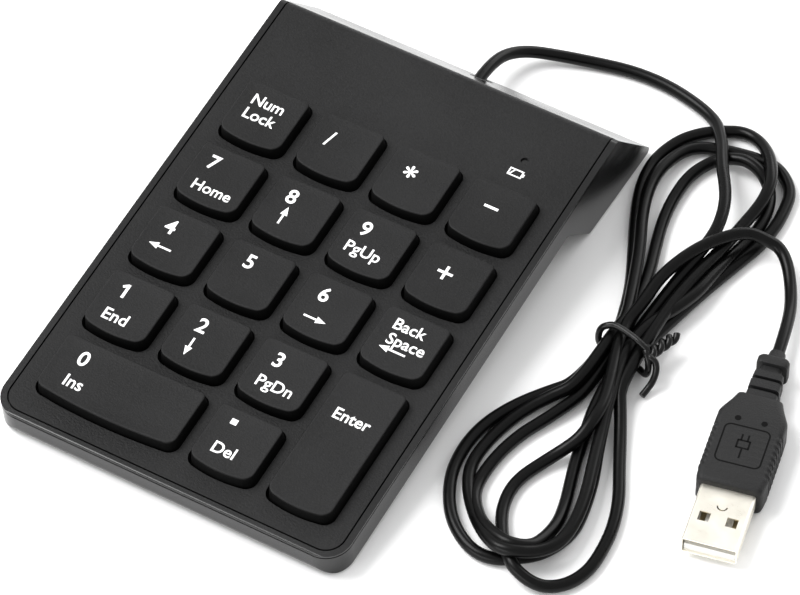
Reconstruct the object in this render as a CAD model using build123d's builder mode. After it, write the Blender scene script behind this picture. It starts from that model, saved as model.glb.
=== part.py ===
"""Wired numeric keypad: tilted slab on a wedge foot, 18 plunger keys, coiled USB cord.

World frame: +X right, +Y to the rear, +Z up, floor at z = 0, millimetres.
Slab frame (DECK): x as in the world, v up the slope from the front face, w above the deck.
"""

import os
from math import acos, cos, radians, sin, tan

from build123d import *

os.makedirs("parts", exist_ok=True)

# ------------------------------------------------------------------ driving sizes
PITCH = 19.0                # key spacing, both ways
WIDTH = 85.3                # over the side walls
TILT = 6.0                  # slope of the slab, degrees
SLAB = 6.9                  # thickness of the slab
DECK_RUN = 122.2            # front face to the rear top edge, up the slope
OVERHANG = 15.87            # rear top edge to the tip of the wedge, on the floor
FRONT_Z = 7.1               # height of the front top edge
CORNER = 6.0                # plan radius of the front corners
WALL = 1.6                  # shell wall
FOOT_GAP = 0.8              # rubber below the wedge
WEDGE_V = DECK_RUN - 23.0   # where the wedge leaves the underside
WEDGE_BOTTOM = 27.7         # depth of the wedge where it stands
RIM = 1.45                  # width of the rim seen from above
RIM_EDGE = 0.5              # height of the rim outside
SEAM = 0.35                 # every visible gap line
LEDGE_TOP = 1.6             # thickness of the top plate
LEDGE_LOW = 2.8

CAP_W = 15.1                # top of a one-unit key
CAP_D = 14.3
CAP_BOW = 1.1               # bulge of the front edge
CAP_TOP = 2.6               # above the deck
CAP_DRAFT = 0.35            # per side, top to skirt
CAP_WALL = 1.1
CAP_ROOF = 1.1
SKIRT = -0.9                # lower edge of the skirt
TRAVEL = 2.0
KEY_GAP = 0.4               # keycap to pocket
FIELD_REAR = 98.5           # rear edge of the first row

POCKET_FLOOR = SKIRT - TRAVEL - 0.5
WAFFLE_LOW = POCKET_FLOOR - 0.7
POST_R = 0.9
POST_GAP = 0.15             # post to sleeve, and sleeve to the inside of the cap
POST_LOW = -1.9
SLEEVE_R = POST_R + POST_GAP + 0.65
SLEEVE_TOP = -0.8
POST_X = CAP_W / 2 - CAP_WALL - SLEEVE_R - POST_GAP
POST_V = CAP_D / 2 - CAP_WALL - SLEEVE_R - POST_GAP
BOSS_R = 1.7
BOSS_LOW = -0.4
DOME_R = 3.7
DOME_HOLE_R = 4.3
SHEET = 0.3                 # rubber sheet
FOIL = 0.12                 # each membrane foil

CORD_D = 2.8
CORD_BEND = 0.45

COS, SIN = cos(radians(TILT)), sin(radians(TILT))
LENGTH = DECK_RUN * COS + OVERHANG
FRONT_Y = -LENGTH / 2
DECK = Plane(origin=(0, FRONT_Y, FRONT_Z), x_dir=(1, 0, 0), z_dir=(0, -SIN, COS))
DECK_AXIS = Axis((0, 0, 0), (0, -SIN, COS))


# ------------------------------------------------------------------ helpers
def side_point(v, w):
    """World (y, z) of a point v up the slope and w above the deck."""
    return (FRONT_Y + v * COS - w * SIN, FRONT_Z + v * SIN + w * COS)


REAR_TIP = (LENGTH / 2 + 1.15, FOOT_GAP)
SIDE = [side_point(0, 0), side_point(DECK_RUN, 0), REAR_TIP,
        (LENGTH / 2 - WEDGE_BOTTOM, FOOT_GAP), side_point(WEDGE_V, -SLAB), side_point(0, -SLAB)]
ROUNDS = [0.5, 2.5, 1.0, 2.0, 2.0, 2.4]


def side_face(inset=0.0):
    """Side profile of the housing, drawn in from the outer skin by inset."""
    with BuildSketch(Plane.YZ) as face:
        with BuildLine():
            Polyline(*SIDE, close=True)
        make_face()
        for corner, radius in zip(SIDE, ROUNDS):
            fillet(face.vertices().sort_by_distance(corner)[0], radius)
        if inset:
            offset(amount=-inset, kind=Kind.INTERSECTION)
    return face.sketch


def plan_face(level, inset, front=None, rear=160.0):
    """Outline of the slab seen square to the deck, drawn in by inset, on the plane w = level."""
    start = inset if front is None else front
    with BuildSketch(DECK.offset(level)) as face:
        with Locations((0, (start + rear) / 2)):
            Rectangle(WIDTH - 2 * inset, rear - start)
        if front is None:
            fillet(face.vertices().sort_by(Axis.Y)[:2], max(CORNER - inset, 0.6))
    return face.sketch


def cap_face(level, width, depth, grow, places):
    """Keycap outline with a bowed front edge, grown all round, at the given places."""
    w, d = width / 2 + grow, depth / 2 + grow
    with BuildSketch() as one:
        with BuildLine():
            Polyline((-w, -d), (-w, d), (w, d), (w, -d))
            ThreePointArc((w, -d), (0, -d - CAP_BOW), (-w, -d))
        make_face()
        fillet(one.vertices().group_by(Axis.Y)[-1], 1.5 + max(grow, -1.0))
        fillet(one.vertices().group_by(Axis.Y)[0], 2.0 + max(grow, -1.0))
    with BuildSketch(DECK.offset(level)) as face:
        with Locations(*places):
            add(one.sketch)
    return face.sketch


def disc_face(level, radius, places):
    with BuildSketch(DECK.offset(level)) as face:
        with Locations(*places):
            Circle(radius)
    return face.sketch


def box_face(level, x0, x1, v0, v1):
    with BuildSketch(DECK.offset(level)) as face:
        with Locations(((x0 + x1) / 2, (v0 + v1) / 2)):
            Rectangle(x1 - x0, v1 - v0)
    return face.sketch


def save(build, name):
    build.part.label = name
    export_step(build.part, f"parts/{name}.step")


def bend_radii(points, share=CORD_BEND):
    """One radius per corner: share of the shorter run next to it over tan of half the turn."""
    radii = []
    for a, b, c in zip(points, points[1:], points[2:]):
        before, after = Vector(*b) - Vector(*a), Vector(*c) - Vector(*b)
        turn = acos(before.dot(after) / (before.length * after.length))
        radii.append(share * min(before.length, after.length) / tan(turn / 2))
    return radii


# ------------------------------------------------------------------ key table
COLS = [(-1.5 + c) * PITCH for c in range(4)]
ROWS = [FIELD_REAR - CAP_D / 2 - r * PITCH for r in range(5)]
WIDE_X, WIDE_W = (COLS[0] + COLS[1]) / 2, CAP_W + PITCH
TALL_V, TALL_D = (ROWS[3] + ROWS[4]) / 2, CAP_D + PITCH

KEYS = {
    "key_num_lock": (COLS[0], ROWS[0]), "key_divide": (COLS[1], ROWS[0]),
    "key_multiply": (COLS[2], ROWS[0]), "key_minus": (COLS[3], ROWS[0]),
    "key_7": (COLS[0], ROWS[1]), "key_8": (COLS[1], ROWS[1]),
    "key_9": (COLS[2], ROWS[1]), "key_plus": (COLS[3], ROWS[1]),
    "key_4": (COLS[0], ROWS[2]), "key_5": (COLS[1], ROWS[2]),
    "key_6": (COLS[2], ROWS[2]), "key_backspace": (COLS[3], ROWS[2]),
    "key_1": (COLS[0], ROWS[3]), "key_2": (COLS[1], ROWS[3]),
    "key_3": (COLS[2], ROWS[3]), "key_dot": (COLS[2], ROWS[4]),
    "key_0": (WIDE_X, ROWS[4]), "key_enter": (COLS[3], TALL_V),
}
SINGLE = [place for name, place in KEYS.items() if name not in ("key_0", "key_enter")]


def key_size(name):
    return (WIDE_W if name == "key_0" else CAP_W, TALL_D if name == "key_enter" else CAP_D)


def post_places(name):
    """Guide posts: two on a diagonal, four on the long keys."""
    x, v = KEYS[name]
    dx = POST_X + (PITCH / 2 if name == "key_0" else 0)
    dv = POST_V + (PITCH / 2 if name == "key_enter" else 0)
    places = [(x - dx, v + dv), (x + dx, v - dv)]
    if name in ("key_0", "key_enter"):
        places += [(x + dx, v + dv), (x - dx, v - dv)]
    return places


# ------------------------------------------------------------------ keycaps
for name, (x, v) in KEYS.items():
    width, depth = key_size(name)
    with BuildPart() as keycap:
        loft([cap_face(SKIRT, width, depth, CAP_DRAFT, [(x, v)]).faces()[0],
              cap_face(CAP_TOP, width, depth, 0.0, [(x, v)]).faces()[0]], ruled=True)
        fillet(keycap.faces().sort_by(DECK_AXIS)[-1].edges(), 0.3)
        extrude(cap_face(SKIRT, width, depth, -CAP_WALL, [(x, v)]),
                amount=CAP_TOP - CAP_ROOF - SKIRT, mode=Mode.SUBTRACT)
        extrude(disc_face(POST_LOW, POST_R, post_places(name)), amount=CAP_TOP - 0.5 - POST_LOW)
        extrude(disc_face(BOSS_LOW, BOSS_R, [(x, v)]), amount=CAP_TOP - 0.5 - BOSS_LOW)
    save(keycap, name)

# ------------------------------------------------------------------ housing
LED_X, LED_V = 27.2, DECK_RUN - 14.1
GLAND_X, GLAND_Z, GLAND_R = 2.6, 7.6, 2.7
SCREW_R, SCREW_HEAD_R, SCREW_HEAD = 0.8, 1.5, 1.0
SCREWS = [(x, FIELD_REAR + (PITCH - CAP_D) / 2 - r * PITCH) for x in (-PITCH, PITCH) for r in (1, 4)]
PCB = (-8.0, 38.0, DECK_RUN - 19.2, DECK_RUN - 3.7)
BOARD = 1.0
BOARD_SCREWS = [(PCB[0] + 3.5, PCB[3] - 3.5), (PCB[1] - 3.5, PCB[3] - 3.5)]
ALL_POSTS = [place for name in KEYS for place in post_places(name)]
CENTRES = list(KEYS.values())
PLATE_INSET = RIM + SEAM + 0.02
FLOOR = -SLAB + WALL
FOIL_TOP = WAFFLE_LOW - SHEET
STEEL_TOP = FOIL_TOP - 3 * FOIL

with BuildPart() as top_plate:
    extrude(plan_face(-LEDGE_TOP, PLATE_INSET), amount=LEDGE_TOP)
    extrude(side_face(), amount=WIDTH / 2, both=True, mode=Mode.INTERSECT)
    extrude(box_face(WAFFLE_LOW, -2 * PITCH - 0.1, 2 * PITCH + 0.1, 5.0, FIELD_REAR + 2.4),
            amount=-WAFFLE_LOW - LEDGE_TOP)
    extrude(disc_face(STEEL_TOP, 2.2, BOARD_SCREWS), amount=-STEEL_TOP - LEDGE_TOP)
    for name, place in KEYS.items():
        width, depth = key_size(name)
        extrude(cap_face(POCKET_FLOOR, width, depth, CAP_DRAFT + KEY_GAP, [place]),
                amount=-POCKET_FLOOR, mode=Mode.SUBTRACT)
    extrude(disc_face(POCKET_FLOOR, SLEEVE_R, ALL_POSTS),
            amount=SLEEVE_TOP - POCKET_FLOOR)
    extrude(disc_face(WAFFLE_LOW, POST_R + POST_GAP, ALL_POSTS),
            amount=SLEEVE_TOP - WAFFLE_LOW, mode=Mode.SUBTRACT)
    extrude(disc_face(WAFFLE_LOW, DOME_HOLE_R, CENTRES),
            amount=POCKET_FLOOR - WAFFLE_LOW, mode=Mode.SUBTRACT)
    extrude(disc_face(WAFFLE_LOW, SCREW_R, SCREWS), amount=2.6, mode=Mode.SUBTRACT)
    extrude(disc_face(STEEL_TOP, SCREW_R, BOARD_SCREWS), amount=2.6, mode=Mode.SUBTRACT)
    extrude(disc_face(-LEDGE_TOP, 0.9, [(LED_X, LED_V)]), amount=LEDGE_TOP, mode=Mode.SUBTRACT)
save(top_plate, "top_plate")

with BuildPart() as rim_frame:
    extrude(plan_face(-RIM_EDGE, 0), amount=RIM_EDGE)
    extrude(side_face(), amount=WIDTH / 2, both=True, mode=Mode.INTERSECT)
    extrude(plan_face(-LEDGE_LOW, 0.9, rear=DECK_RUN - 3.2), amount=LEDGE_LOW - RIM_EDGE)
    extrude(plan_face(-LEDGE_TOP, RIM), amount=LEDGE_TOP, mode=Mode.SUBTRACT)
    extrude(plan_face(-LEDGE_LOW, 3.4), amount=LEDGE_LOW, mode=Mode.SUBTRACT)
save(rim_frame, "rim_frame")

GLAND_DEPTH = 6.28          # how far the gland reaches in from the rear face
REAR_EDGE = side_point(DECK_RUN, 0)
LEAN = (REAR_TIP[0] - REAR_EDGE[0]) / (REAR_EDGE[1] - REAR_TIP[1])
GLAND_Y = REAR_EDGE[0] + LEAN * (REAR_EDGE[1] - GLAND_Z) - GLAND_DEPTH
GLAND = Plane(origin=(GLAND_X, GLAND_Y, GLAND_Z), x_dir=(1, 0, 0), z_dir=(0, 1, 0))

with BuildPart() as hollow:
    extrude(side_face(WALL), amount=WIDTH / 2 - WALL, both=True)
    extrude(plan_face(-40, WALL), amount=60, mode=Mode.INTERSECT)

with BuildPart() as bottom_shell:
    extrude(side_face(), amount=WIDTH / 2, both=True)
    extrude(plan_face(-40, 0), amount=60, mode=Mode.INTERSECT)
    add(hollow.part, mode=Mode.SUBTRACT)
    extrude(box_face(-RIM_EDGE - SEAM, -99, 99, -9, 160), amount=9, mode=Mode.SUBTRACT)
    extrude(plan_face(-LEDGE_LOW, 0.8, rear=DECK_RUN - 1.2), amount=9, mode=Mode.SUBTRACT)
    extrude(plan_face(-LEDGE_TOP, RIM, front=100.0), amount=9, mode=Mode.SUBTRACT)
    extrude(disc_face(-SLAB, SCREW_HEAD_R + 0.1, SCREWS), amount=SCREW_HEAD, mode=Mode.SUBTRACT)
    extrude(disc_face(-SLAB, SCREW_R + 0.15, SCREWS), amount=WALL, mode=Mode.SUBTRACT)
    with BuildSketch(GLAND):
        Circle(GLAND_R)
    extrude(amount=12, mode=Mode.SUBTRACT)
save(bottom_shell, "bottom_shell")

# ------------------------------------------------------------------ under the keys
LAYER = (-38.4, 38.4, 4.6, 101.4)

with BuildPart() as dome_sheet:
    extrude(box_face(FOIL_TOP, *LAYER), amount=SHEET)
    for centre in CENTRES:
        spot = DECK.offset(WAFFLE_LOW) * Location((*centre, 0))
        rise = BOSS_LOW - WAFFLE_LOW
        with Locations(spot):
            Cone(DOME_R, 1.9, rise, align=(Align.CENTER, Align.CENTER, Align.MIN))
        with Locations(DECK.offset(FOIL_TOP) * Location((*centre, 0))):
            Cone(DOME_R - 0.5, 1.3, rise + SHEET - 0.9,
                 align=(Align.CENTER, Align.CENTER, Align.MIN), mode=Mode.SUBTRACT)
    extrude(disc_face(FOIL_TOP, 1.2, SCREWS), amount=SHEET, mode=Mode.SUBTRACT)
save(dome_sheet, "dome_sheet")

for index, name in enumerate(["membrane_top", "membrane_spacer", "membrane_bottom"]):
    level = FOIL_TOP - (index + 1) * FOIL
    with BuildPart() as foil:
        extrude(box_face(level, *LAYER), amount=FOIL)
        if name == "membrane_spacer":
            extrude(disc_face(level, 2.5, CENTRES), amount=FOIL, mode=Mode.SUBTRACT)
        if name == "membrane_bottom":
            extrude(box_face(level, -2.0, 20.0, LAYER[3] - 1, PCB[2] + 4), amount=FOIL)
        extrude(disc_face(level, 1.2, SCREWS), amount=FOIL, mode=Mode.SUBTRACT)
    save(foil, name)

with BuildPart() as backplate:
    extrude(box_face(FLOOR, LAYER[0], LAYER[1], LAYER[2], 97.0), amount=STEEL_TOP - FLOOR)
    extrude(disc_face(FLOOR, 1.2, SCREWS), amount=STEEL_TOP - FLOOR, mode=Mode.SUBTRACT)
save(backplate, "backplate")

with BuildPart() as housing_screws:
    extrude(disc_face(-SLAB, SCREW_HEAD_R, SCREWS), amount=SCREW_HEAD)
    extrude(disc_face(-SLAB, SCREW_R, SCREWS), amount=SLAB + WAFFLE_LOW + 2.4)
    with BuildSketch(DECK.offset(-SLAB)):
        with Locations(*SCREWS):
            Rectangle(2.0, 0.45)
            Rectangle(0.45, 2.0)
    extrude(amount=0.5, mode=Mode.SUBTRACT)
save(housing_screws, "housing_screws")

# ------------------------------------------------------------------ controller board
BOARD_LOW = STEEL_TOP - BOARD

with BuildPart() as circuit_board:
    extrude(box_face(BOARD_LOW, *PCB), amount=BOARD)
    extrude(disc_face(BOARD_LOW, SCREW_R + 0.15, BOARD_SCREWS), amount=BOARD, mode=Mode.SUBTRACT)
save(circuit_board, "circuit_board")

with BuildPart() as board_screws:
    extrude(disc_face(BOARD_LOW - SCREW_HEAD, SCREW_HEAD_R, BOARD_SCREWS), amount=SCREW_HEAD)
    extrude(disc_face(BOARD_LOW - SCREW_HEAD, SCREW_R, BOARD_SCREWS), amount=SCREW_HEAD + BOARD + 2.3)
save(board_screws, "board_screws")

with BuildPart() as membrane_clamp:
    extrude(box_face(STEEL_TOP + FOIL, -3.0, 21.0, PCB[2] + 0.6, PCB[2] + 3.6), amount=1.2)
save(membrane_clamp, "membrane_clamp")

with BuildPart() as controller_chip:
    extrude(box_face(BOARD_LOW - 1.1, 18.0, 25.0, PCB[2] + 3, PCB[2] + 10), amount=1.1)
save(controller_chip, "controller_chip")

with BuildPart() as crystal:
    extrude(box_face(BOARD_LOW - 1.4, 28.5, 32.5, PCB[2] + 3.5, PCB[2] + 5.7), amount=1.4)
save(crystal, "crystal")

with BuildPart() as status_led:
    extrude(box_face(STEEL_TOP, LED_X - 1, LED_X + 1, LED_V - 0.6, LED_V + 0.6), amount=0.7)
save(status_led, "status_led")

with BuildPart() as light_pipe:
    extrude(disc_face(STEEL_TOP + 0.7, 1.5, [(LED_X, LED_V)]), amount=-STEEL_TOP - 0.7 - LEDGE_TOP)
    extrude(disc_face(-LEDGE_TOP, 0.9, [(LED_X, LED_V)]), amount=LEDGE_TOP - 0.5)
save(light_pipe, "light_pipe")

HEADER_X, HEADER_V = 8.0, PCB[3] - 5.1
HEADER_LOW = BOARD_LOW - 3.4
PLUG_LOW = HEADER_LOW - 1.6

with BuildPart() as cable_header:
    extrude(box_face(HEADER_LOW, HEADER_X - 6.2, HEADER_X + 6.2, HEADER_V - 2.3, HEADER_V + 2.3), amount=3.4)
    extrude(box_face(HEADER_LOW, HEADER_X - 5.4, HEADER_X + 5.4, HEADER_V - 1.5, HEADER_V + 1.5),
            amount=2.8, mode=Mode.SUBTRACT)
save(cable_header, "cable_header")

with BuildPart() as header_plug:
    extrude(box_face(PLUG_LOW, HEADER_X - 5.3, HEADER_X + 5.3, HEADER_V - 1.4, HEADER_V + 1.4), amount=4.4)
save(header_plug, "header_plug")

# ------------------------------------------------------------------ cord
CORD_START = (GLAND_X, 55.6, GLAND_Z)
LEAD_IN = [CORD_START, (1.5, 67.6, 7.4), (3.4, 78.0, 4.4), (14.5, 84.2, 1.7), (33.0, 88.6, 1.5),
           (50.5, 84.5, 1.9), (56.5, 77.0, 4.0)]
LEAD_OUT = [(72.0, 55.6, 5.6), (83.4, 55.2, 4.2), (90.3, 45.2, 2.2), (93.84, 34.39, 4.0), (95.92, 24.61, 4.0)]


def tube(points, diameter):
    """Round section swept along straight runs and tangent arcs, with its bend radii."""
    radii = bend_radii(points)
    with BuildLine() as path:
        FilletPolyline(*points, radius=radii)
    with BuildPart() as body:
        with BuildSketch(Plane(origin=points[0], z_dir=path.line % 0)):
            Circle(diameter / 2)
        sweep(path=path.line)
    return body, path.wires()[0].length, radii


cords = {"cord_lead_in": LEAD_IN, "cord_lead_out": LEAD_OUT}
tubes = {}
for name, points in cords.items():
    tubes[name], run, radii = tube(points, CORD_D)
    print(name, "length", round(run, 1), "radii", [round(r, 1) for r in radii])
    save(tubes[name], name)

with BuildPart() as cord_gland:
    with BuildSketch(GLAND):
        Circle(GLAND_R)
    extrude(amount=12)
    extrude(side_face(), amount=WIDTH / 2, both=True, mode=Mode.INTERSECT)
    add(tubes["cord_lead_in"].part, mode=Mode.SUBTRACT)
save(cord_gland, "cord_gland")

HANK_OUTER = [(59.0, 17.5), (57.0, 3.0), (51.0, -9.0), (46.6, -23.0), (48.6, -37.0), (56.0, -46.0),
              (66.0, -49.4), (76.5, -50.4), (84.8, -48.6), (88.4, -40.0), (87.2, -26.0),
              (82.0, -12.0), (74.0, 3.0), (70.3, 15.5), (72.6, 31.0), (76.6, 44.0), (79.6, 56.0),
              (79.8, 66.0), (76.0, 76.0), (68.4, 83.4), (60.5, 86.0), (53.2, 83.6), (47.0, 76.6),
              (44.4, 66.0), (46.0, 55.0), (51.0, 42.0), (57.0, 30.0)]
HANK_OPEN = [[(65.6, -5.0), (61.0, -16.0), (59.4, -27.0), (62.4, -35.0), (67.6, -38.8), (73.0, -36.8),
              (74.0, -30.0), (71.0, -18.0)],
             [(61.6, 44.0), (57.8, 54.0), (56.6, 63.0), (59.6, 69.0), (63.2, 65.0), (66.0, 57.0),
              (65.4, 47.0)]]
HANK_TOP = 6.3
# local x across the bundle, local y up, local z along the bundle to the front
TIE = Plane(origin=(64.2, 14.6, 0), x_dir=(0.985, -0.174, 0), z_dir=(-0.174, -0.985, 0))
TIE_D = 1.5
TIE_W = 13.8                # between the centres of its two sides
TIE_IN = (TIE_W - TIE_D) / 2 - 1.0    # clear of the rounded corners

with BuildPart() as cord_hank:
    with BuildSketch(Plane.XY.offset(0.1)):
        with BuildLine():
            Spline(*HANK_OUTER, periodic=True)
        make_face()
        for hole in HANK_OPEN:
            with BuildLine():
                Spline(*hole, periodic=True)
            make_face(mode=Mode.SUBTRACT)
    extrude(amount=HANK_TOP - 0.1)
    with BuildSketch(TIE.offset(-3)):
        Rectangle(30, 3.4)
        with Locations((-TIE_IN - 5, 5), (TIE_IN + 5, 5)):
            Rectangle(10, 12)
    extrude(amount=8, mode=Mode.SUBTRACT)
    for lead in tubes.values():
        add(lead.part, mode=Mode.SUBTRACT)
save(cord_hank, "cord_hank")

with BuildPart() as twist_tie:
    with BuildLine() as loop:
        FilletPolyline(*[TIE.from_local_coords(p) for p in
                         ((-TIE_W / 2, 0.9, 0), (TIE_W / 2, 0.9, 0),
                          (TIE_W / 2, 7.2, 0), (-TIE_W / 2, 7.2, 0))],
                       radius=2.0, close=True)
    with BuildSketch(Plane(origin=loop.line @ 0, z_dir=loop.line % 0)):
        Circle(TIE_D / 2)
    sweep(path=loop.line)
    with BuildLine() as tail:
        FilletPolyline(TIE.from_local_coords((6.4, 7.2, 0)), TIE.from_local_coords((9.8, 5.6, 1.6)),
                       TIE.from_local_coords((11.4, 1.6, 7.0)), radius=2.0)
    with BuildSketch(Plane(origin=tail.line @ 0, z_dir=tail.line % 0)):
        Circle(TIE_D / 2)
    sweep(path=tail.line)
save(twist_tie, "twist_tie")

WIRES = {"wire_red": -1.5, "wire_white": -0.5, "wire_green": 0.5, "wire_black": 1.5}
PLUG_Y, PLUG_Z = side_point(HEADER_V, PLUG_LOW)
for name, step in WIRES.items():
    start = (GLAND_X + step * 0.9, GLAND_Y - 2.1, GLAND_Z)
    end = DECK.from_local_coords((HEADER_X + step * 2.4, HEADER_V, PLUG_LOW))
    below = DECK.from_local_coords((HEADER_X + step * 2.4, HEADER_V, PLUG_LOW - 4.0))
    with BuildPart() as wire:
        with BuildLine() as path:
            FilletPolyline(start, (start[0], GLAND_Y - 4.9, GLAND_Z), tuple(below), tuple(end), radius=1.2)
        with BuildSketch(Plane(origin=start, z_dir=(0, -1, 0))):
            Circle(0.4)
        sweep(path=path.line)
    save(wire, name)

# ------------------------------------------------------------------ plug, lying flat
HEADING = -78.0             # direction the plug points in, degrees from +X
PLUG_FRONT = (103.4, -10.6) # front face of the overmould, on its centreline
BODY_W, BODY_H = 15.2, 8.0
RELIEF_W, RELIEF_H = 7.0, 6.4
USB_W, USB_H, USB_WALL = 12.0, 4.5, 0.3
USB_OUT, USB_IN = 15.0, 4.0
AXIS_Z = BODY_H / 2
turn = radians(HEADING)
# local x across the plug, local y back along it towards the cord
PLUG = Plane(origin=(*PLUG_FRONT, 0), x_dir=(-sin(turn), cos(turn), 0), z_dir=(0, 0, 1))


def plug_face(level, width, y0, y1, places=((0, 0),)):
    """Rectangles in the plug frame, level above the floor, shifted to the given places."""
    with BuildSketch(PLUG.offset(level)) as face:
        with Locations(*[(x, y + (y0 + y1) / 2) for x, y in places]):
            Rectangle(width, y1 - y0)
    return face.sketch


BORE = plug_face(AXIS_Z - USB_H / 2 + USB_WALL, USB_W - 2 * USB_WALL, -USB_OUT, USB_IN - 0.5)
BORE_H = USB_H - 2 * USB_WALL
TONGUE_LOW = AXIS_Z - USB_H / 2 + USB_WALL
TONGUE_H, CONTACT_H = 1.9, 0.3
CONTACT_LOW = TONGUE_LOW + TONGUE_H - CONTACT_H
CONTACTS = (plug_face(CONTACT_LOW, 1.1, -USB_OUT + 1.4, USB_IN - 1.0, ((-3.5, 0), (3.5, 0)))
            + plug_face(CONTACT_LOW, 1.1, -USB_OUT + 2.4, USB_IN - 1.0, ((-1.0, 0), (1.0, 0))))

with BuildPart() as usb_shell:
    extrude(plug_face(AXIS_Z - USB_H / 2, USB_W, -USB_OUT, USB_IN), amount=USB_H)
    fillet(usb_shell.edges().filter_by(Axis((0, 0, 0), tuple(PLUG.y_dir))), 0.6)
    extrude(BORE, amount=BORE_H, mode=Mode.SUBTRACT)
    extrude(plug_face(-1, 2.4, -9.4, -7.0, ((-3.0, 0), (3.0, 0))), amount=20, mode=Mode.SUBTRACT)
    with BuildSketch(PLUG.offset(AXIS_Z)):
        with Locations((0, -4.6)):
            Circle(1.2)
            Circle(0.9, mode=Mode.SUBTRACT)
            Rectangle(3, 3, align=(Align.CENTER, Align.MIN), mode=Mode.SUBTRACT)
    extrude(amount=USB_H, mode=Mode.SUBTRACT)
save(usb_shell, "usb_shell")

with BuildPart() as usb_tongue:
    extrude(plug_face(TONGUE_LOW, USB_W - 2 * USB_WALL - 0.4, -USB_OUT + 0.6, USB_IN - 0.5), amount=TONGUE_H)
    extrude(CONTACTS, amount=CONTACT_H, mode=Mode.SUBTRACT)
save(usb_tongue, "usb_tongue")

with BuildPart() as usb_contacts:
    extrude(CONTACTS, amount=CONTACT_H)
save(usb_contacts, "usb_contacts")

half = BODY_W / 2
with BuildPart() as plug_overmould:
    with BuildSketch(PLUG):
        with BuildLine():
            Polyline((0.45 - half, 0), (half - 0.45, 0), (half, 4), (half, 20), (5.4, 25.5), (-5.4, 25.5),
                     (-half, 20), (-half, 4), close=True)
        make_face()
    extrude(amount=BODY_H)
    fillet(plug_overmould.faces().filter_by(Axis.Z).edges(), 0.9)
    with BuildSketch(PLUG.offset(BODY_H - 0.35)):
        with Locations((0, 10.5)):
            RectangleRounded(10.4, 11.5, 2.6)
    extrude(amount=1, mode=Mode.SUBTRACT)
    add(usb_shell.part, mode=Mode.SUBTRACT)
    extrude(BORE, amount=BORE_H, mode=Mode.SUBTRACT)
save(plug_overmould, "plug_overmould")

with BuildPart() as plug_relief:
    extrude(plug_face(AXIS_Z - RELIEF_H / 2, RELIEF_W, 25.5, 40.0), amount=RELIEF_H)
    extrude(plug_face(-1, 2.2, -0.5, 0.5, [(side * RELIEF_W / 2, y) for side in (-1, 1)
                                           for y in (33.5, 36.3)]), amount=12, mode=Mode.SUBTRACT)
    add(tubes["cord_lead_out"].part, mode=Mode.SUBTRACT)
save(plug_relief, "plug_relief")

# ------------------------------------------------------------------ rubber feet
with BuildPart() as front_feet:
    with BuildSketch(Plane.XY):
        with Locations((-32, side_point(12, 0)[0]), (32, side_point(12, 0)[0])):
            Circle(4.5)
    extrude(amount=4)
    add(bottom_shell.part, mode=Mode.SUBTRACT)
    extrude(side_face(0.05), amount=WIDTH / 2, both=True, mode=Mode.SUBTRACT)
save(front_feet, "front_feet")

with BuildPart() as rear_feet:
    with BuildSketch(Plane.XY):
        with Locations((-31, LENGTH / 2 - 13.7), (31, LENGTH / 2 - 13.7)):
            RectangleRounded(14, 7, 1.5)
    extrude(amount=FOOT_GAP)
save(rear_feet, "rear_feet")
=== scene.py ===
import math

import bmesh
import bpy
from mathutils import Matrix, Vector


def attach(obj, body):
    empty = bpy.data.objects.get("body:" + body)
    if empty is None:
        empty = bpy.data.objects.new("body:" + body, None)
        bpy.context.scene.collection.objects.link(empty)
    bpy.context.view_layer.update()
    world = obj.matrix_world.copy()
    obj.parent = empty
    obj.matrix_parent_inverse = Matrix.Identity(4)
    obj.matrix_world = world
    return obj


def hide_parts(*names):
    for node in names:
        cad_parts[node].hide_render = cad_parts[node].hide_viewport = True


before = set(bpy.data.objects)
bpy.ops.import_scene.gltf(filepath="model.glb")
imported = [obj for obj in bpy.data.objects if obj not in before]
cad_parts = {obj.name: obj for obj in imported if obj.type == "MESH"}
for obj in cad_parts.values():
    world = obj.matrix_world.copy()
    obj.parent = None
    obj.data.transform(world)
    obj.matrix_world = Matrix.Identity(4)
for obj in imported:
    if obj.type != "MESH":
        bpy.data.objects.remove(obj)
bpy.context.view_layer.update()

MM = 0.001
HOUSING = "housing"

# Slab frame, in millimetres: x across, y up the slope from the front face, z above the deck.
DECK = (Matrix.Translation((0, -0.0687, 0.0071)) @ Matrix.Rotation(math.radians(6.0), 4, "X")
        @ Matrix.Scale(MM, 4))
# Plug frame, in millimetres: x across, y back along the plug towards the cord, z up.
PLUG = (Matrix.Translation((0.1034, -0.0106, 0)) @ Matrix.Rotation(math.radians(12.0), 4, "Z")
        @ Matrix.Scale(MM, 4))


# ---------------------------------------------------------------- camera, first of all
def make_camera(place, target, roll, lens):
    """The scene's camera, looking at the target and rolled about its own axis."""
    data = bpy.data.cameras.new("camera")
    data.lens, data.sensor_width = lens, 36.0
    data.clip_start, data.clip_end = 0.05, 20.0
    camera = bpy.data.objects.new("camera", data)
    bpy.context.collection.objects.link(camera)
    look = (Vector(target) - Vector(place)).to_track_quat("-Z", "Y")
    camera.rotation_mode = "QUATERNION"
    camera.rotation_quaternion = look @ Matrix.Rotation(roll, 3, "Z").to_quaternion()
    camera.location = place
    bpy.context.scene.camera = camera


make_camera((0.36215, -0.59481, 0.83684), (0.015213, 0.005142, 0.0), -0.00444, 225.0)
bpy.context.scene.view_settings.view_transform = "Standard"


# ---------------------------------------------------------------- shading
class Wire:
    """An output socket. Arithmetic on it adds Math nodes, with plain numbers on either side."""

    def __init__(self, finish, socket):
        self.finish, self.socket = finish, socket

    def maths(self, operation, first, second):
        return self.finish.node("ShaderNodeMath", {"operation": operation}, {0: first, 1: second})

    def __add__(self, other):
        return self.maths("ADD", self, other)

    def __mul__(self, other):
        return self.maths("MULTIPLY", self, other)


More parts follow.
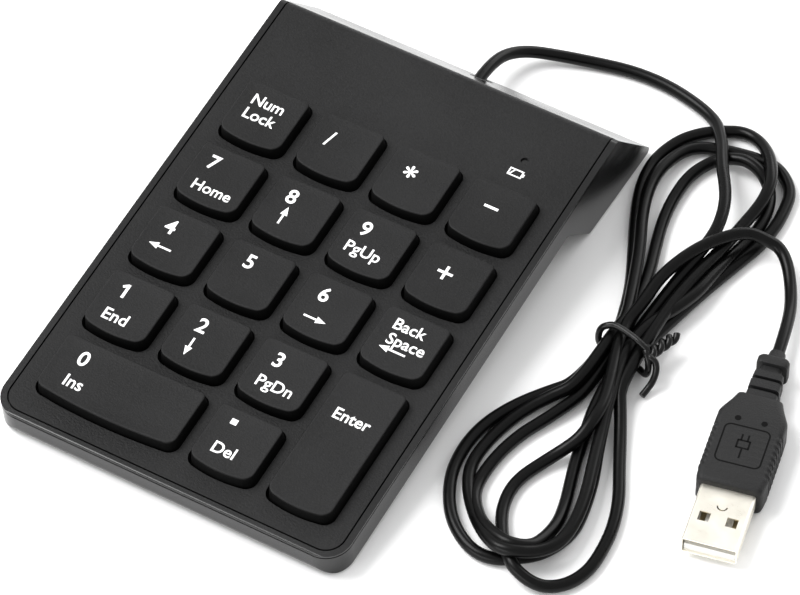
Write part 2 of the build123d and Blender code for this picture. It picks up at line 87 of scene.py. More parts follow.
class Finish:
    """A named material: a Principled shader whose plain sockets take constants."""

    def __init__(self, name, **constants):
        self.material = bpy.data.materials.new(name)
        self.material.use_nodes = True
        self.tree = self.material.node_tree
        self.shader = self.tree.nodes["Principled BSDF"]
        for socket, value in constants.items():
            self.shader.inputs[socket.replace("_", " ")].default_value = value

    def node(self, kind, settings, inputs, output=0):
        """One node: its settings, then the values or links of its sockets; gives back one output."""
        made = self.tree.nodes.new(kind)
        for key, value in settings.items():
            setattr(made, key, value)
        for key, value in inputs.items():
            self.feed(made.inputs[key], value)
        return Wire(self, made.outputs[output])

    def feed(self, socket, value):
        if isinstance(value, Wire):
            self.tree.links.new(value.socket, socket)
        else:
            socket.default_value = value

    def set(self, **links):
        for socket, value in links.items():
            self.feed(self.shader.inputs[socket.replace("_", " ")], value)
        return self

    def place(self, scale=(1, 1, 1)):
        here = self.node("ShaderNodeTexCoord", {}, {}, "Object")
        return self.node("ShaderNodeMapping", {}, {"Vector": here, "Scale": scale})

    def noise(self, scale, detail=3.0, rough=0.5, where=None):
        return self.node("ShaderNodeTexNoise", {}, {"Vector": where or self.place(), "Scale": scale,
                                                    "Detail": detail, "Roughness": rough})

    def spread(self, value, low, high, to_low, to_high):
        return self.node("ShaderNodeMapRange", {}, {"Value": value, "From Min": low, "From Max": high,
                                                    "To Min": to_low, "To Max": to_high})

    def blend(self, factor, first, second):
        """Mix of two colours. The node's colour sockets share names, so they go by number."""
        return self.node("ShaderNodeMix", {"data_type": "RGBA"},
                         {0: factor, 6: (*first, 1), 7: (*second, 1)}, 2)

    def bump(self, height, distance):
        return self.node("ShaderNodeBump", {}, {"Height": height, "Distance": distance})


def moulded(name, dark, light, rough, grain, depth, **constants):
    """Spark-eroded moulded plastic: fine grain, slow shifts of tone and sheen."""
    f = Finish(name, **constants)
    fine, slow = f.noise(grain, 4.0, 0.6), f.noise(38.0, 2.0, 0.5)
    tone = f.spread(fine * 0.6 + slow * 0.4, 0.35, 0.65, 0.0, 1.0)
    f.set(Base_Color=f.blend(tone, dark, light),
          Roughness=f.spread(slow + fine * 0.5, 0.5, 1.0, rough - 0.04, rough + 0.05),
          Normal=f.bump(fine, depth))
    return f.material


def sheet_metal(name, dark, light, rough, stretch):
    """Drawn and plated metal: fine streaks along the sheet and a few handling marks."""
    f = Finish(name, Metallic=1.0)
    streak = f.noise(900.0, 3.0, 0.6, f.place(stretch))
    cloud = f.noise(160.0, 3.0, 0.6)
    f.set(Base_Color=f.blend(cloud, dark, light),
          Roughness=f.spread(streak + cloud, 0.7, 1.3, rough - 0.05, rough + 0.08),
          Normal=f.bump(streak, 0.000006))
    return f.material


HOUSING_ABS = moulded("housing_abs", (0.004, 0.004, 0.0041), (0.0135, 0.0135, 0.0138), 0.5, 2200.0, 0.00014,
                      Specular_IOR_Level=0.17)
SHELL_ABS = moulded("shell_abs", (0.005, 0.005, 0.0051), (0.010, 0.010, 0.0103), 0.21, 2400.0, 0.00001,
                    Specular_IOR_Level=0.36)
CAP_ABS = moulded("cap_abs", (0.004, 0.004, 0.0041), (0.0135, 0.0135, 0.0138), 0.5, 2600.0, 0.0001,
                  Specular_IOR_Level=0.17)
# A darker copy of the cap plastic for the steep key sides: painted shade, the sides being the same black
# plastic as the tops.
CAP_SIDE_SHADE = moulded("cap_side_painted_shade", (0.002, 0.002, 0.002), (0.003, 0.003, 0.003), 0.45, 2200.0, 0.00001,
                   Specular_IOR_Level=0.15)
CORD_PVC = moulded("cord_pvc", (0.001, 0.001, 0.001), (0.002, 0.002, 0.002), 0.3, 900.0, 0.00001,
                   Specular_IOR_Level=0.15)
TIE_PLASTIC = moulded("tie_plastic", (0.002, 0.002, 0.002), (0.004, 0.004, 0.004), 0.28, 1200.0, 0.00002,
                      Specular_IOR_Level=0.25)
PLUG_PVC = moulded("plug_pvc", (0.006, 0.006, 0.0062), (0.011, 0.011, 0.0113), 0.5, 2400.0, 0.00012,
                   Specular_IOR_Level=0.25)
# Near-black patches on the plug: the band round the pad is painted shade of its sunk groove, and the pin
# marks and the sign share the colour.
PLUG_GROOVE_SHADE_AND_MARKS = moulded("plug_groove_shade_and_marks", (0.001, 0.001, 0.001), (0.002, 0.002, 0.002), 0.7, 2400.0, 0.00001,
                    Specular_IOR_Level=0.1)
FOOT_RUBBER = moulded("foot_rubber", (0.02, 0.02, 0.02), (0.032, 0.032, 0.032), 0.8, 1500.0, 0.00004)
DOME_SILICONE = moulded("dome_silicone", (0.55, 0.56, 0.54), (0.66, 0.67, 0.64), 0.5, 900.0, 0.00002)
FILM = moulded("film", (0.62, 0.66, 0.64), (0.72, 0.76, 0.74), 0.3, 700.0, 0.00001)
BOARD_GREEN = moulded("board_green", (0.012, 0.10, 0.04), (0.02, 0.15, 0.06), 0.35, 1200.0, 0.00002)
CHIP_EPOXY = moulded("chip_epoxy", (0.015, 0.015, 0.016), (0.03, 0.03, 0.03), 0.6, 3000.0, 0.00002)
NYLON = moulded("nylon", (0.68, 0.66, 0.58), (0.78, 0.76, 0.68), 0.45, 900.0, 0.00002)
TONGUE_WHITE = moulded("tongue_white", (0.70, 0.69, 0.66), (0.8, 0.79, 0.76), 0.4, 900.0, 0.00002)
# White print that also glows faintly by emission: painted light, for the print is no lamp.
LEGEND_WHITE_GLOW = moulded("legend_white_painted_glow", (0.84, 0.84, 0.84), (0.92, 0.92, 0.92), 0.5, 2500.0, 0.00001,
                       Emission_Color=(1, 1, 1, 1), Emission_Strength=0.12)
LENS_SMOKE = moulded("lens_smoke", (0.004, 0.004, 0.004), (0.008, 0.008, 0.008), 0.2, 600.0, 0.00001)
STEEL = sheet_metal("zinc_steel", (0.42, 0.42, 0.43), (0.58, 0.58, 0.59), 0.35, (1, 12, 1))
SCREW_STEEL = sheet_metal("screw_steel", (0.18, 0.18, 0.19), (0.3, 0.3, 0.31), 0.4, (1, 1, 1))
NICKEL = sheet_metal("warm_nickel", (0.93, 0.89, 0.78), (0.99, 0.96, 0.87), 0.32, (1, 9, 1))
GOLD = sheet_metal("contact_gold", (0.86, 0.72, 0.42), (0.95, 0.82, 0.55), 0.3, (1, 9, 1))
WIRE_COATS = {name: moulded(name, dark, light, 0.35, 900.0, 0.00001) for name, dark, light in (
    ("wire_red", (0.4, 0.02, 0.02), (0.5, 0.03, 0.03)), ("wire_white", (0.7, 0.7, 0.68), (0.8, 0.8, 0.78)),
    ("wire_green", (0.02, 0.25, 0.06), (0.03, 0.35, 0.1)), ("wire_black", (0.012,) * 3, (0.02,) * 3))}


# ---------------------------------------------------------------- meshes
SHARP = 35.0                # degrees between faces above which an edge stays sharp


def build(name, points, faces, finish, place, body=HOUSING, sharp=SHARP):
    """A mesh piece from points in the given frame, riding on a body."""
    mesh = bpy.data.meshes.new(name)
    mesh.from_pydata([place @ Vector(p) for p in points], [], faces)
    tidy = bmesh.new()
    tidy.from_mesh(mesh)
    bmesh.ops.remove_doubles(tidy, verts=tidy.verts, dist=1e-7)
    bmesh.ops.recalc_face_normals(tidy, faces=tidy.faces)
    tidy.to_mesh(mesh)
    tidy.free()
    mesh.shade_smooth()
    mesh.set_sharp_from_angle(angle=math.radians(sharp))
    mesh.materials.append(finish)
    piece = bpy.data.objects.new(name, mesh)
    bpy.context.collection.objects.link(piece)
    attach(piece, body)
    return piece


def loft(rings):
    """Points and faces of a closed solid through rings of equal count, capped at both ends."""
    count = len(rings[0])
    points = [p for ring in rings for p in ring]
    faces = []
    for low in range(0, len(points) - count, count):
        high = low + count
        for i in range(count):
            j = (i + 1) % count
            faces.append((low + i, low + j, high + j, high + i))
    faces += [tuple(reversed(range(count))), tuple(range(len(points) - count, len(points)))]
    return points, faces


def join(*solids):
    """Several (points, faces) as one."""
    points, faces = [], []
    for more, sides in solids:
        faces += [tuple(i + len(points) for i in side) for side in sides]
        points += more
    return points, faces


def rounded(half_x, half_y, radius, steps=6, sides=1, front_radius=None):
    """Rounded rectangle as (x, y) points, anticlockwise: steps segments to a corner, sides to a side.

    The two corners at low y take front_radius where it is given.
    """
    ring = []
    for quarter, (sx, sy) in enumerate(((1, 1), (-1, 1), (-1, -1), (1, -1))):
        r = radius if sy > 0 or front_radius is None else front_radius
        r = min(r, half_x * 0.98, half_y * 0.98)
        for k in range(steps + 1):
            a = math.radians(90 * (quarter + k / steps))
            ring.append((sx * (half_x - r) + r * math.cos(a), sy * (half_y - r) + r * math.sin(a)))
    filled = []
    for index, (x, y) in enumerate(ring):
        filled.append((x, y))
        if index % (steps + 1) == steps:
            nx, ny = ring[(index + 1) % len(ring)]
            filled += [(x + (nx - x) * k / sides, y + (ny - y) * k / sides) for k in range(1, sides)]
    return filled


# Print, and the plug's dark patches with the painted groove shade, start below the surface they lie on and
# end just above it.
INK_LIFT, INK_THICK, PLUG_PATCH_THICK = -0.05, 0.075, 0.07


def flat_shape(outline):
    """A thin raised patch from (x, y) points, as a solid to drop on a surface."""
    count = len(outline)
    faces = [tuple(range(count, 2 * count)), tuple(reversed(range(count)))]
    faces += [(i, (i + 1) % count, count + (i + 1) % count, count + i) for i in range(count)]
    return [(x, y, 0.0) for x, y in outline] + [(x, y, 1.0) for x, y in outline], faces


def bar(x0, y0, x1, y1, width):
    """A straight stroke of ink."""
    dx, dy = x1 - x0, y1 - y0
    run = math.hypot(dx, dy)
    nx, ny = -dy / run * width / 2, dx / run * width / 2
    return flat_shape([(x0 + nx, y0 + ny), (x0 - nx, y0 - ny), (x1 - nx, y1 - ny), (x1 + nx, y1 + ny)])


# ---------------------------------------------------------------- cord
LEAD_IN = [(2.6, 55.6, 7.6), (1.5, 67.6, 7.4), (3.4, 78.0, 4.4), (14.5, 84.2, 1.7), (33.0, 88.6, 1.5),
           (50.5, 84.5, 1.9), (56.5, 77.0, 4.0)]
OVER_THE_TOP = [(60.5, 69, 5.6), (64.5, 63, 6), (66.8, 58, 6.2), (68.3, 51.5, 6), (67.7, 43.5, 5.4),
                (66.6, 33.5, 4.2), (65.5, 16, 2.8)]
LOWER_THIRD = [(67, -1.5, 2.3), (68.5, -8.5, 1.7), (70, -15, 1.5), (72, -21.5, 1.5), (74, -27.5, 1.6),
               (75.5, -34, 2.6), (75, -41, 4.3), (73.5, -44, 5.6), (70, -45.5, 6.2), (65.5, -44, 5),
               (61.5, -41.5, 3.4), (57.5, -37, 2), (55.5, -33, 1.5), (55, -27.5, 1.5), (55.5, -21.5, 1.5),
               (57, -15.5, 1.5), (59.5, -10, 1.7), (62, -4, 2.1), (63.5, 1, 2.5), (63.5, 17.5, 2.8)]
UPPER_INNER = [(62, 26.5, 2.9), (60, 36, 2), (57, 45, 1.5), (55, 52, 1.5), (54, 59, 1.5), (54, 66, 1.5),
               (56, 71.5, 1.5), (58.5, 73.5, 2.2), (60.5, 74, 3.2), (64, 74.5, 4), (68, 73.5, 3.6),
               (70.5, 72, 2.2), (72.5, 69.5, 1.5), (74, 65, 1.5), (74.5, 59, 1.5), (73.5, 52.5, 1.8),
               (72.5, 43, 3.4), (72, 32.5, 4.6), (65.5, 16.5, 5.5)]
LOWER_SECOND = [(70.5, -3.5, 4.8), (72.5, -9.5, 4.2), (75, -17.5, 4.2), (77.5, -25, 4.2),
                (79, -32.5, 4.3), (79, -39, 4.6), (76.5, -43.5, 5.2), (73.5, -46, 6), (69, -47.5, 6),
                (64.5, -45, 4.4), (60, -41, 2.6), (56, -36.5, 1.6), (53, -32, 1.5), (51.5, -27.5, 1.5),
                (51.5, -22, 1.5), (52.5, -16, 1.6), (54.5, -10, 1.9), (58, -4.5, 3), (61.8, -0.5, 4.5),
                (62.2, 17.5, 5.5)]
UPPER_SECOND = [(62.4, 21, 4.8), (59.2, 30, 4.2), (55.5, 40, 4), (51, 49.5, 3.6), (48.5, 57.5, 3.2),
                (48, 64, 3), (49.5, 71.5, 2), (52.5, 75, 1.5), (57, 76.5, 1.5), (61.5, 77.5, 1.5),
                (65.5, 78, 1.5), (69.5, 78, 1.5), (73, 76, 1.5), (76, 72.5, 1.5), (77, 67.5, 1.5),
                (77.5, 62, 1.6), (77, 55.5, 1.6), (75, 48.5, 1.6), (72.5, 38.5, 1.7), (70.5, 28, 2.3),
                (68.5, 16, 2.8)]
LOWER_OUTER = [(68, 3, 2.4), (70.5, -4, 1.8), (73, -11.5, 1.5), (76, -19, 1.5), (78, -26.5, 1.5),
               (79, -33, 1.5), (77.5, -38.5, 1.5), (75, -42.5, 1.5), (71.5, -45, 1.4), (69, -47, 1.4),
               (65, -48, 1.5), (61, -47, 1.5), (56.5, -44, 1.5), (53, -40, 1.5), (50, -34.5, 1.5),
               (48.5, -29.5, 1.5), (48, -23, 1.5), (49, -16.5, 1.5), (52, -9.5, 1.6), (56.5, -3, 1.8),
               (60.5, 1.5, 2.3), (62, 18, 2.8)]
UPPER_OUTER = [(61, 22, 2.6), (58, 31.5, 1.7), (53.5, 41, 1.5), (49, 50.5, 1.5), (46, 58.5, 1.5),
               (45, 66.5, 1.5), (47, 74, 1.5), (50.5, 78.5, 1.5), (54.5, 81.5, 1.5), (58.5, 83.5, 1.6),
               (63, 82.5, 2.2), (67.5, 78.5, 3.8), (71, 73, 5), (72.5, 68, 4.8), (72.5, 63, 4.2),
               (71.8, 57.5, 3.9), (71.2, 50, 4.2), (69.8, 39, 5), (69, 26.5, 5.4), (69.5, 15.5, 5.5)]
LOWER_INNER = [(70, 3.5, 4.4), (72.5, -0.5, 3), (76, -7, 1.8), (79.5, -14, 1.5), (83, -20.5, 1.5),
               (85.5, -27.5, 1.5), (86.5, -34.5, 1.5), (86.5, -40.5, 1.5), (84.5, -45.5, 1.5),
               (81, -48.5, 1.5), (77.5, -49.5, 2.4), (73.5, -49, 3.8), (71, -47, 4), (68, -43.5, 2.8),
               (65, -39, 1.7), (63, -35, 1.5), (62, -30, 1.5), (62.5, -25.5, 1.5), (64.5, -20.5, 1.6),
               (67, -16, 2.6), (69.5, -13, 5), (70, -8, 6.4), (69.5, -1, 6), (63, 17.5, 5.5)]
OUT_OF_THE_TIE = [(64, 25.5, 6.2), (64, 33, 7), (66.5, 42, 7.3), (70, 48.5, 7.3), (74.5, 53.5, 7.2),
                  (78, 54.5, 6.2)]
LEAD_OUT = [(83.4, 55.2, 4.2), (90.3, 45.2, 2.2), (93.84, 34.39, 4.0), (95.92, 24.61, 4.0)]
ROUTE = (LEAD_IN + OVER_THE_TOP + LOWER_THIRD + UPPER_INNER + LOWER_SECOND + UPPER_SECOND
         + LOWER_OUTER + UPPER_OUTER + LOWER_INNER + OUT_OF_THE_TIE + LEAD_OUT)
CORD_D = 2.8 * MM


def smooth_line(name, points, diameter, finish):
    """A round curve on one open NURBS spline that has the points, in mm, as its controls."""
    curve = bpy.data.curves.new(name, "CURVE")
    curve.dimensions = "3D"
    spline = curve.splines.new("NURBS")
    spline.points.add(len(points) - 1)
    for control, p in zip(spline.points, points):
        control.co = (*(Vector(p) * MM), 1.0)
    spline.order_u = 3
    spline.use_endpoint_u = True
    spline.resolution_u = 8
    curve.bevel_depth = diameter / 2
    curve.bevel_resolution = 8
    curve.use_fill_caps = True
    curve.materials.append(finish)
    line = bpy.data.objects.new(name, curve)
    bpy.context.collection.objects.link(line)
    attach(line, HOUSING)
    return line


cord = smooth_line("cord", ROUTE, CORD_D, CORD_PVC)
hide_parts("cord_lead_in", "cord_hank", "cord_lead_out")

# ---------------------------------------------------------------- twist tie
TIE_D = 1.5 * MM
WRAPS = [(72.2, 13.4, 5.4), (71.6, 13.4, 7.2), (69.6, 13.8, 8.1), (66.4, 14.8, 8.2), (62.6, 15.5, 8.2),
         (61.0, 15.0, 7.9), (59.5, 14.4, 6.6), (59.2, 14.0, 4.0), (59.5, 14.2, 1.4), (61.2, 14.6, 0.8),
         (66.0, 14.2, 0.8), (70.0, 12.8, 0.8), (71.6, 11.8, 1.2), (72.7, 11.0, 2.4), (73.0, 11.2, 4.4),
         (72.4, 12.0, 6.2), (71.2, 13.0, 7.2), (70.6, 14.4, 7.0), (71.4, 15.4, 6.0)]
TAIL = [(71.8, 12.8, 6.4), (72.8, 12.4, 6.6), (74.0, 12.4, 6.0), (74.8, 11.4, 4.4), (74.8, 9.8, 2.6),
        (74.4, 8.2, 1.5), (74.0, 6.4, 0.9)]
KNOT, TWIST_END = Vector((72.0, 13.4, 6.2)), Vector((73.9, 21.8, 4.8))
TURNS, TWIST_R, TWIST_STEPS = 1.7, 0.72, 28
SHORT_END = 23              # how many of the twist's points the shorter strand has


def twisted(phase):
    """Centreline of one strand of the twisted pair."""
    axis = (TWIST_END - KNOT).normalized()
    across = axis.cross(Vector((0, 0, 1))).normalized()
    above = across.cross(axis)
    strand = []
    for k in range(TWIST_STEPS + 1):
        part = k / TWIST_STEPS
        a = phase + part * TURNS * 2 * math.pi
        strand.append(KNOT.lerp(TWIST_END, part) + (across * math.cos(a) + above * math.sin(a)) * TWIST_R)
    return strand


tie_loop = smooth_line("tie_wraps", WRAPS, TIE_D, TIE_PLASTIC)
tie_twist = smooth_line("tie_twist", twisted(0.0)[:SHORT_END], TIE_D, TIE_PLASTIC)
tie_tail = smooth_line("tie_tail", twisted(math.pi)[::-1] + TAIL, TIE_D, TIE_PLASTIC)
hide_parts("twist_tie")


# ---------------------------------------------------------------- plug
PLUG_TOP = 8.0


def plug_section(y, half, low, high, radius):
    """Upright rounded section across the plug at y."""
    mid, tall = (low + high) / 2, (high - low) / 2
    return [(x, y, mid + z) for x, z in rounded(half, tall, radius)]


def make_plug():
    """The moulded body with its side ribs, then the collared neck.

    Each row of the lists is a section: y, half width, low, high and corner radius.
    """
    rows = [(0.0, 6.4, 0.7, 7.3, 1.0), (0.12, 6.8, 0.35, 7.65, 1.2), (0.5, 7.15, 0.1, 7.9, 1.3),
            (1.4, 7.35, 0.0, 8.0, 1.4), (3.0, 7.5, 0.0, 8.0, 1.4)]
    for rib in range(8):
        start = 3.4 + 1.55 * rib
        rows += [(start, 7.6, 0.0, 8.0, 1.3), (start + 0.62, 7.6, 0.0, 8.0, 1.3),
                 (start + 0.77, 7.25, 0.0, 8.0, 1.2), (start + 1.4, 7.25, 0.0, 8.0, 1.2)]
    rows += [(15.9, 7.6, 0.0, 8.0, 1.4), (19.4, 7.55, 0.0, 8.0, 1.5), (20.3, 7.3, 0.1, 7.95, 1.6),
             (21.6, 6.7, 0.2, 7.9, 1.7), (23.2, 5.9, 0.3, 7.8, 1.7), (24.4, 5.4, 0.4, 7.7, 1.6),
             (25.2, 5.1, 0.6, 7.5, 1.4), (25.5, 4.7, 1.0, 7.1, 1.2)]
    points, faces = loft([plug_section(*row) for row in rows])
    shell = build("plug_body", points, faces, PLUG_PVC, PLUG)
    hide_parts("plug_overmould")
    rows = [(25.3, 3.0, 1.1, 6.9, 1.0), (25.5, 3.4, 0.9, 7.1, 1.0), (27.0, 3.4, 0.9, 7.1, 1.0),
            (27.15, 2.5, 1.6, 6.4, 0.9), (27.75, 2.5, 1.6, 6.4, 0.9), (27.9, 3.4, 0.8, 7.2, 1.0),
            (30.0, 3.4, 0.8, 7.2, 1.0), (30.15, 2.5, 1.6, 6.4, 0.9), (30.75, 2.5, 1.6, 6.4, 0.9),
            (30.9, 3.3, 0.9, 7.1, 1.0), (32.6, 3.2, 0.9, 7.1, 1.0), (32.8, 2.3, 1.7, 6.3, 0.9),
            (34.6, 2.3, 1.7, 6.3, 0.9), (34.8, 3.3, 0.9, 7.1, 1.1), (35.2, 3.5, 0.8, 7.2, 1.2),
            (36.6, 3.5, 0.8, 7.2, 1.2), (37.1, 3.2, 1.0, 7.0, 1.2), (37.3, 2.0, 2.0, 6.0, 1.1),
            (40.0, 1.75, 2.3, 5.7, 1.5)]
    points, faces = loft([plug_section(*row) for row in rows])
    neck = build("plug_neck", points, faces, PLUG_PVC, PLUG)
    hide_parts("plug_relief")
    return shell, neck


def ring_band(outer, inner):
    """A flat closed band between two outlines of equal count."""
    count = len(outer)
    points = [(x, y, z) for z in (0.0, 1.0) for ring in (outer, inner) for x, y in ring]
    faces = []
    for i in range(count):
        j = (i + 1) % count
        faces += [(i, j, count + j, count + i), (2 * count + i, 3 * count + i, 3 * count + j, 2 * count + j),
                  (i, 2 * count + i, 2 * count + j, j), (count + i, count + j, 3 * count + j, 3 * count + i)]
    return points, faces


def disc(x, y, radius):
    """A round patch of ink, with twenty sides."""
    return flat_shape([(x + radius * math.cos(a * math.pi / 10), y + radius * math.sin(a * math.pi / 10))
                       for a in range(20)])


def make_plug_marks():
    """The pad's sunk outline as a dark band, which is painted shade of its groove, then two pin marks and a
    plain two-prong sign, all as dark patches.
    """
    outline = [[(x, 10.8 + y) for x, y in rounded(5.1 - step, 5.3 - step, 1.5 - step)]
               for step in (0.0, 0.36)]
    sign = [bar(0, 7.4, 0, 10.0, 0.4), bar(-1.5, 10.2, 1.5, 10.2, 0.4), bar(-1.3, 10.2, -1.3, 12.2, 0.4),
            bar(1.3, 10.2, 1.3, 12.2, 0.4), bar(-1.5, 12.2, 1.5, 12.2, 0.4), bar(-0.7, 12.2, -0.7, 13.9, 0.4),
            bar(0.7, 12.2, 0.7, 13.9, 0.4)]
    points, faces = join(ring_band(*outline), disc(-2.9, 17.8, 0.7), disc(2.9, 17.8, 0.7), *sign)
    laid = [(x, y, PLUG_TOP + INK_LIFT + z * PLUG_PATCH_THICK) for x, y, z in points]
    return build("plug_marks", laid, faces, PLUG_GROOVE_SHADE_AND_MARKS, PLUG)


plug_body, plug_neck = make_plug()
plug_marks = make_plug_marks()


# ---------------------------------------------------------------- keycaps
PITCH, CAP_W, CAP_D = 19.0, 15.1, 14.3      # key spacing, and the width and depth of a one-unit cap
CAP_BOW, CAP_TOP, DISH = 1.1, 2.6, 0.2      # bulge of the front edge, top above the deck, hollow of the top
CAP_SKIRT, CAP_ROOF = -0.9, 1.7             # lower edge and underside; the roof clears a dome when pressed
CORNER, FRONT_CORNER = 1.3, 1.9             # corner radii at the back and the front
COLS = [(c - 1.5) * PITCH for c in range(4)]
ROWS = [98.5 - CAP_D / 2 - r * PITCH for r in range(5)]
KEYS = {name: (COLS[c], ROWS[r], CAP_W, CAP_D) for name, c, r in (
    ("num_lock", 0, 0), ("divide", 1, 0), ("multiply", 2, 0), ("minus", 3, 0),
    ("7", 0, 1), ("8", 1, 1), ("9", 2, 1), ("plus", 3, 1),
    ("4", 0, 2), ("5", 1, 2), ("6", 2, 2), ("backspace", 3, 2),
    ("1", 0, 3), ("2", 1, 3), ("3", 2, 3), ("dot", 2, 4))}
KEYS["0"] = ((COLS[0] + COLS[1]) / 2, ROWS[4], CAP_W + PITCH, CAP_D)
KEYS["enter"] = (COLS[3], (ROWS[3] + ROWS[4]) / 2, CAP_W, CAP_D + PITCH)


def bow(key, x):
    """How far the front edge bulges at x from the key's centre."""
    return CAP_BOW * max(0.0, 1 - (2 * x / KEYS[key][2]) ** 2)


def cap_top(key, x, y):
    """Height of a keycap's dished top at a point measured from the key's centre."""
    _, _, width, depth = KEYS[key]
    across = abs(2 * x / width)
    along = abs(2 * (y + bow(key, x) / 2) / (depth + bow(key, x)))
    fall = [max(0.0, 1 - t ** (8 if size > CAP_W else 4)) for t, size in ((across, width), (along, depth))]
    return CAP_TOP - DISH * fall[0] * fall[1]


def cap_ring(key, inset, height):
    """One ring of a keycap: the bowed outline, drawn in by inset. Height None follows the dish."""
    cx, cy, width, depth = KEYS[key]
    ring = []
    for x, v in rounded(width / 2 - inset, depth / 2 - inset, max(CORNER - inset, 0.2), 6, 10,
                        max(FRONT_CORNER - inset, 0.2)):
        y = v - bow(key, x) * (depth / 2 - v) / depth
        ring.append((cx + x, cy + y, cap_top(key, x, y) if height is None else height))
    return ring


def make_cap(key):
    """A hollow cap: flared sides with painted shade, a rounded top edge, then the dished top."""
    side = [(-0.35, CAP_SKIRT), (-0.24, 0.3), (-0.12, 1.5), (-0.05, 2.2), (0.0, 2.36), (0.08, 2.49),
            (0.2, 2.57)]
    rings = [cap_ring(key, 7.0, CAP_ROOF), cap_ring(key, 1.0, CAP_ROOF), cap_ring(key, 0.75, CAP_SKIRT)]
    rings += [cap_ring(key, *step) for step in side]
    rings += [cap_ring(key, inset, None) for inset in (0.38, 0.8, 1.5, 2.4, 3.4, 4.5, 5.6, 6.5, 7.0)]
    points, faces = loft(rings)
    cap = build("keycap_" + key, points, faces, CAP_ABS, DECK, "cap_" + key, 40.0)
    # The steep sides take a darker finish: painted shade.
    paint_shade_on_sides(cap, CAP_SIDE_SHADE)
    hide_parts("key_" + key)


def paint_shade_on_sides(piece, finish):
    """Gives every face that stands steeper than 45 degrees the second finish; on the keycaps that finish is
    painted shade on the sides.
    """
    piece.data.materials.append(finish)
    for face in piece.data.polygons:
        if abs(face.normal.z) < 0.7:
            face.material_index = 1


for key in KEYS:
    make_cap(key)


# ---------------------------------------------------------------- legends
ARROW_LINE, ARROW_HEAD = 0.46, 1.15         # width of an arrow's stroke, and half the length of its head


def arrow(x, y, length, angle):
    """A thin arrow centred at (x, y), pointing at angle degrees."""
    c, s = math.cos(math.radians(angle)), math.sin(math.radians(angle))
    tip, tail = length / 2, -length / 2

    def turned(solid):
        return [(x + px * c - py * s, y + px * s + py * c, pz) for px, py, pz in solid[0]], solid[1]

    barb, spread = tip - 2 * ARROW_HEAD, ARROW_HEAD * 0.75
    point = flat_shape([(tip, 0.0), (barb, spread), (barb, -spread)])
    return join(turned(bar(tail, 0, tip - ARROW_HEAD, 0, ARROW_LINE)), turned(point))


def word(text, x, y, size, bold):
    """Plain lettering with its left end at x and its baseline at y, cap height about 0.7 of size."""
    curve = bpy.data.curves.new("lettering", "FONT")
    curve.body, curve.size, curve.extrude, curve.offset = text, size, 0.5, bold
    curve.resolution_u = 4
    holder = bpy.data.objects.new("lettering", curve)
    bpy.context.collection.objects.link(holder)
    mesh = bpy.data.meshes.new_from_object(holder.evaluated_get(bpy.context.evaluated_depsgraph_get()))
    left = min(v.co.x for v in mesh.vertices)
    points = [(x + v.co.x - left, y + v.co.y, v.co.z + 0.5) for v in mesh.vertices]
    faces = [tuple(p.vertices) for p in mesh.polygons]
    bpy.data.objects.remove(holder)
    bpy.data.meshes.remove(mesh)
    bpy.data.curves.remove(curve)
    return points, faces


def print_legend(key, *marks):
    """Drops marks, laid out from a one-unit key's centre, onto a keycap."""
    points, faces = join(*marks)
    cx, cy, width, depth = KEYS[key]
    sx, sy = (width - CAP_W) / 2, (depth - CAP_D) / 2
    laid = []
    for x, y, z in points:
        kx, ky = x - sx, y + sy
        laid.append((cx + kx, cy + ky, cap_top(key, kx, ky) + INK_LIFT + z * INK_THICK))
    build("legend_" + key, laid, faces, LEGEND_WHITE_GLOW, DECK, "cap_" + key, 60.0)


BIG, THICK = 5.1, 0.085                     # size and weight of the digits
BELOW = {"7": word("Home", -4.5, -5.2, 3.85, 0.045), "9": word("PgUp", -4.8, -4.1, 4.1, 0.04),
         "1": word("End", -4.0, -5.3, 4.2, 0.045), "3": word("PgDn", -4.1, -4.8, 4.1, 0.04),
         "0": word("Ins", -2.3, -4.8, 4.2, 0.045), "8": arrow(-1.7, -2.4, 4.8, 90),
         "2": arrow(-2.2, -3.1, 4.8, -90), "4": arrow(-2.2, -2.8, 5.5, 180), "6": arrow(-1.0, -3.7, 5.4, 0)}
for digit, x in (("7", -4.4), ("8", -3.6), ("9", -4.1), ("4", -4.0), ("5", -2.9), ("6", -3.4),
                 ("1", -2.9), ("2", -3.5), ("3", -3.4), ("0", -2.6)):
    flag = [bar(-3.75, 3.55, -2.6, 4.3, 0.62)] if digit == "1" else []
    print_legend(digit, word(digit, x, 1.0, BIG, THICK), *flag, *([BELOW[digit]] if digit in BELOW else []))
print_legend("num_lock", word("Num", -4.5, 1.4, 4.0, 0.05), word("Lock", -4.4, -2.6, 4.0, 0.05))
print_legend("divide", word("/", -3.8, -0.9, 5.6, 0.05))
print_legend("multiply", word("*", -3.4, -2.2, 7.0, 0.1))
print_legend("minus", bar(-2.5, 1.1, 0.9, 1.1, 0.65))
print_legend("plus", bar(-3.0, 0.6, 0.6, 0.6, 0.65), bar(-1.2, -1.2, -1.2, 2.4, 0.65))
print_legend("backspace", word("Back", -4.3, 2.1, 4.0, 0.05), word("Space", -3.9, -1.8, 4.0, 0.05),
             arrow(-1.4, -3.1, 6.4, 180))
print_legend("enter", word("Enter", -4.4, -4.4, 4.0, 0.05))
print_legend("dot", bar(-3.6, 3.9, -2.1, 3.9, 1.4), word("Del", -3.8, -4.5, 4.0, 0.05))


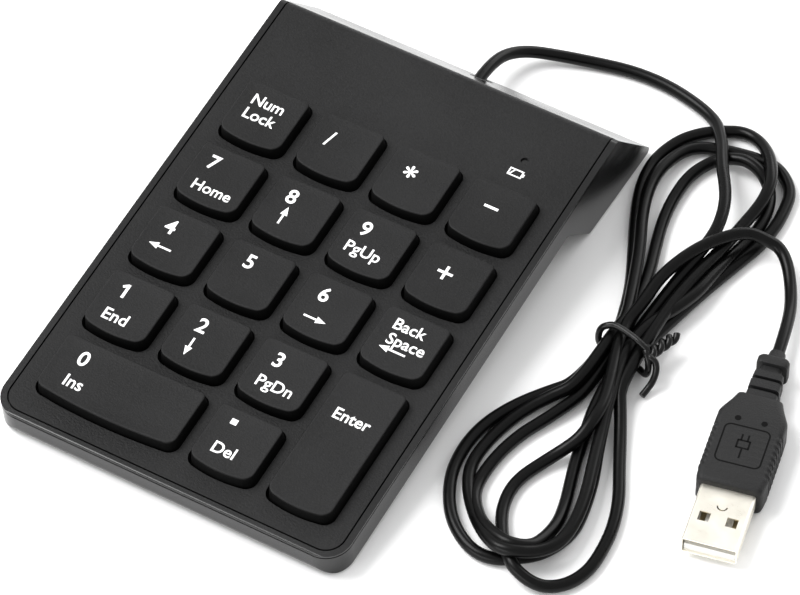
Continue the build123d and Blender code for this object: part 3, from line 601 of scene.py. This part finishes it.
# ---------------------------------------------------------------- charge mark by the light
def print_charge_mark():
    """A plain cell outline with its end pip and one slanted stroke, on the deck."""
    x, y, long, tall, line = 27.0, 104.4, 3.1, 1.7, 0.34
    left, right, low, high = x - long / 2, x + long / 2, y - tall / 2, y + tall / 2
    marks = [bar(left, low, right, low, line), bar(left, high, right, high, line),
             bar(left, low - line / 2, left, high + line / 2, line),
             bar(right, low - line / 2, right, high + line / 2, line),
             bar(right + 0.36, y - 0.4, right + 0.36, y + 0.4, 0.4),
             bar(left + 0.3, low, left + 1.2, high, 0.3)]
    points, faces = join(*marks)
    laid = [(px, py, INK_LIFT + pz * INK_THICK) for px, py, pz in points]
    build("charge_mark", laid, faces, LEGEND_WHITE_GLOW, DECK, sharp=60.0)


print_charge_mark()


# ---------------------------------------------------------------- pieces carried over from the frame
def dress(finish, *nodes):
    """Gives frame nodes a finish and smooth shading between sharp edges."""
    for name in nodes:
        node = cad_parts[name]
        node.data.materials.clear()
        node.data.materials.append(finish)
        node.data.shade_smooth()
        node.data.set_sharp_from_angle(angle=math.radians(SHARP))


dress(HOUSING_ABS, "top_plate")
dress(SHELL_ABS, "rim_frame", "bottom_shell")
dress(DOME_SILICONE, "dome_sheet")
dress(FILM, "membrane_top", "membrane_spacer", "membrane_bottom")
dress(STEEL, "backplate", "crystal")
dress(SCREW_STEEL, "housing_screws", "board_screws")
dress(BOARD_GREEN, "circuit_board")
dress(CHIP_EPOXY, "controller_chip")
dress(NYLON, "status_led", "membrane_clamp", "cable_header", "header_plug")
dress(LENS_SMOKE, "light_pipe")
dress(FOOT_RUBBER, "front_feet", "rear_feet", "cord_gland")
dress(NICKEL, "usb_shell")
dress(TONGUE_WHITE, "usb_tongue")
dress(GOLD, "usb_contacts")
for wire_name, wire_finish in WIRE_COATS.items():
    dress(wire_finish, wire_name)


# ---------------------------------------------------------------- floor and light
def make_floor():
    """A wide white paper sheet under everything."""
    f = Finish("floor_paper", Roughness=0.9, Specular_IOR_Level=0.1)
    f.set(Base_Color=f.blend(f.noise(30.0), (0.93, 0.93, 0.93), (0.95, 0.95, 0.95)))
    mesh = bpy.data.meshes.new("floor")
    mesh.from_pydata([(-4, -4, 0), (4, -4, 0), (4, 4, 0), (-4, 4, 0)], [], [(0, 1, 2, 3)])
    mesh.materials.append(f.material)
    floor = bpy.data.objects.new("floor", mesh)
    bpy.context.collection.objects.link(floor)


def softbox(name, place, target, size, power):
    """A rectangular lamp facing the target."""
    data = bpy.data.lights.new(name, "AREA")
    data.shape, data.size, data.size_y, data.energy = "RECTANGLE", size[0], size[1], power
    lamp = bpy.data.objects.new(name, data)
    bpy.context.collection.objects.link(lamp)
    lamp.location = place
    lamp.rotation_mode = "QUATERNION"
    lamp.rotation_quaternion = (Vector(target) - Vector(place)).to_track_quat("-Z", "Y")


def make_light():
    """An even white room with one large key and two low fills."""
    world = bpy.data.worlds.new("studio")
    world.use_nodes = True
    world.node_tree.nodes["Background"].inputs["Color"].default_value = (1, 1, 1, 1)
    world.node_tree.nodes["Background"].inputs["Strength"].default_value = 0.8
    bpy.context.scene.world = world
    softbox("key_light", (-1.0, -0.2, 1.5), (0.0, 0.0, 0.0), (1.0, 1.0), 34.0)
    softbox("rear_light", (0.2, 1.6, 0.9), (0.02, 0.1, 0.0), (1.6, 0.6), 12.0)
    softbox("front_light", (-0.3, -1.2, 0.35), (0.0, -0.05, 0.01), (1.2, 0.4), 8.0)


make_floor()
make_light()
